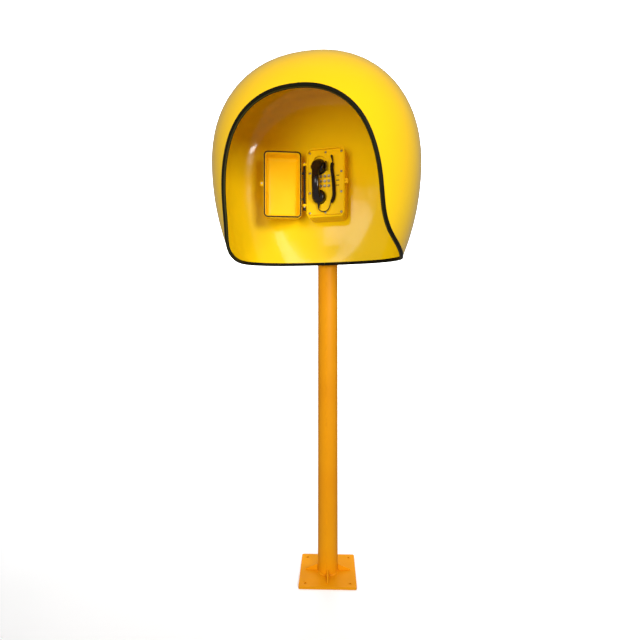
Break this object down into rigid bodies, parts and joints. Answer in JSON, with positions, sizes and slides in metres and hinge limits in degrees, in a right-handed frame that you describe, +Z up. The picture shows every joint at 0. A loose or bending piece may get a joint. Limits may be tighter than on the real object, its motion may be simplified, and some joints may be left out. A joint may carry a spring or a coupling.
{
  "type": "telephone booth",
  "caption": "Hooded outdoor telephone on a floor pole, with a hinged lid, lift-off handset on a curly cord, sprung keys and a bolted base plate.",
  "frame": {"origin": "pole axis at floor level, centre of the anchor hole circle on the underside of the base plate", "axes": "+Z up along the pole, -Y the way the hood opens, +X to the right as seen by someone facing the phone"},
  "size_m": [0.8192, 0.7117, 2.1588],
  "materials": {
    "yellow_gelcoat": "glossy moulded gelcoat",
    "yellow_paint": "satin powder coat",
    "pole_paint": "satin powder coat",
    "trim_rubber": "satin extruded rubber",
    "seal_rubber": "matt rubber",
    "black_plastic": "glossy moulded plastic",
    "black_matt": "matt moulded plastic",
    "cord_black": "satin cord jacket",
    "zinc_steel": "zinc plated",
    "stainless": "polished stainless",
    "board_green": "solder mask",
    "grey_rubber": "matt rubber",
    "label_dark": "matt print"
  },
  "bodies": {
    "stand": {"base_plate": "pole_paint", "base_gussets": "pole_paint", "pole_tube": "pole_paint", "pole_cap": "black_matt", "lower_saddle": "pole_paint", "upper_saddle": "pole_paint", "clamp_straps": "pole_paint", "clamp_bolts": "zinc_steel", "clamp_nuts": "zinc_steel", "mounting_plate": "yellow_paint", "hood_outer_skin": "yellow_gelcoat", "hood_inner_skin": "yellow_gelcoat", "edge_trim": "trim_rubber", "housing_bolts": "zinc_steel", "housing_nuts": "zinc_steel", "line_gland": "black_matt", "phone_housing": "yellow_paint", "faceplate": "yellow_paint", "faceplate_gasket": "seal_rubber", "faceplate_screws": "stainless", "keypad_mat": "grey_rubber", "keypad_board": "board_green", "label_bars": "label_dark", "cradle": "black_matt", "hook_switch": "black_matt", "main_board": "board_green", "sounder": "black_matt", "terminal_block": "black_matt", "cord_gland": "black_matt", "cord_upper_lead": "cord_black", "cord_coil": "cord_black", "cord_lower_lead": "cord_black", "hinge_pin": "zinc_steel", "hinge_knob": "black_matt", "latch_keeper": "yellow_paint"},
    "handset": {"handset_shell": "black_plastic", "ear_cap": "black_plastic", "mouth_cap": "black_plastic", "receiver_capsule": "zinc_steel", "microphone_capsule": "zinc_steel", "handset_magnet": "zinc_steel", "handset_sleeve": "black_matt"},
    "lid": {"lid_shell": "yellow_paint", "lid_gasket": "seal_rubber", "hinge_sleeve": "black_matt"},
    "latch": {"latch_knob": "stainless"},
    "key_1_body": {"key_1": "stainless"},
    "key_2_body": {"key_2": "stainless"},
    "key_3_body": {"key_3": "stainless"},
    "key_4_body": {"key_4": "stainless"},
    "key_5_body": {"key_5": "stainless"},
    "key_6_body": {"key_6": "stainless"},
    "key_7_body": {"key_7": "stainless"},
    "key_8_body": {"key_8": "stainless"},
    "key_9_body": {"key_9": "stainless"},
    "key_10_body": {"key_10": "stainless"},
    "key_11_body": {"key_11": "stainless"},
    "key_12_body": {"key_12": "stainless"}
  },
  "joints": [
    {"name": "lid_hinge", "type": "hinge", "parent": "stand", "child": "lid", "pos_m": [-0.07, -0.152, 1.723], "axis": [0, 0, -1], "range_deg": [-162, 0]},
    {"name": "latch_turn", "type": "hinge", "parent": "lid", "child": "latch", "pos_m": [-0.2438, -0.19796, 1.723], "axis": [-0.309, 0.9511, 0], "range_deg": [0, 90]},
    {"name": "handset_lift", "type": "slide", "parent": "stand", "child": "handset", "axis": [0, -1, 0], "range_m": [0, 0.12]},
    {"name": "key_1_press", "type": "slide", "parent": "stand", "child": "key_1_body", "axis": [0, 1, 0], "range_m": [0, 0.0015], "stiffness_N_per_m": 800, "springref_m": -0.0004},
    {"name": "key_2_press", "type": "slide", "parent": "stand", "child": "key_2_body", "axis": [0, 1, 0], "range_m": [0, 0.0015], "stiffness_N_per_m": 800, "springref_m": -0.0004},
    {"name": "key_3_press", "type": "slide", "parent": "stand", "child": "key_3_body", "axis": [0, 1, 0], "range_m": [0, 0.0015], "stiffness_N_per_m": 800, "springref_m": -0.0004},
    {"name": "key_4_press", "type": "slide", "parent": "stand", "child": "key_4_body", "axis": [0, 1, 0], "range_m": [0, 0.0015], "stiffness_N_per_m": 800, "springref_m": -0.0004},
    {"name": "key_5_press", "type": "slide", "parent": "stand", "child": "key_5_body", "axis": [0, 1, 0], "range_m": [0, 0.0015], "stiffness_N_per_m": 800, "springref_m": -0.0004},
    {"name": "key_6_press", "type": "slide", "parent": "stand", "child": "key_6_body", "axis": [0, 1, 0], "range_m": [0, 0.0015], "stiffness_N_per_m": 800, "springref_m": -0.0004},
    {"name": "key_7_press", "type": "slide", "parent": "stand", "child": "key_7_body", "axis": [0, 1, 0], "range_m": [0, 0.0015], "stiffness_N_per_m": 800, "springref_m": -0.0004},
    {"name": "key_8_press", "type": "slide", "parent": "stand", "child": "key_8_body", "axis": [0, 1, 0], "range_m": [0, 0.0015], "stiffness_N_per_m": 800, "springref_m": -0.0004},
    {"name": "key_9_press", "type": "slide", "parent": "stand", "child": "key_9_body", "axis": [0, 1, 0], "range_m": [0, 0.0015], "stiffness_N_per_m": 800, "springref_m": -0.0004},
    {"name": "key_10_press", "type": "slide", "parent": "stand", "child": "key_10_body", "axis": [0, 1, 0], "range_m": [0, 0.0015], "stiffness_N_per_m": 800, "springref_m": -0.0004},
    {"name": "key_11_press", "type": "slide", "parent": "stand", "child": "key_11_body", "axis": [0, 1, 0], "range_m": [0, 0.0015], "stiffness_N_per_m": 800, "springref_m": -0.0004},
    {"name": "key_12_press", "type": "slide", "parent": "stand", "child": "key_12_body", "axis": [0, 1, 0], "range_m": [0, 0.0015], "stiffness_N_per_m": 800, "springref_m": -0.0004}
  ]
}
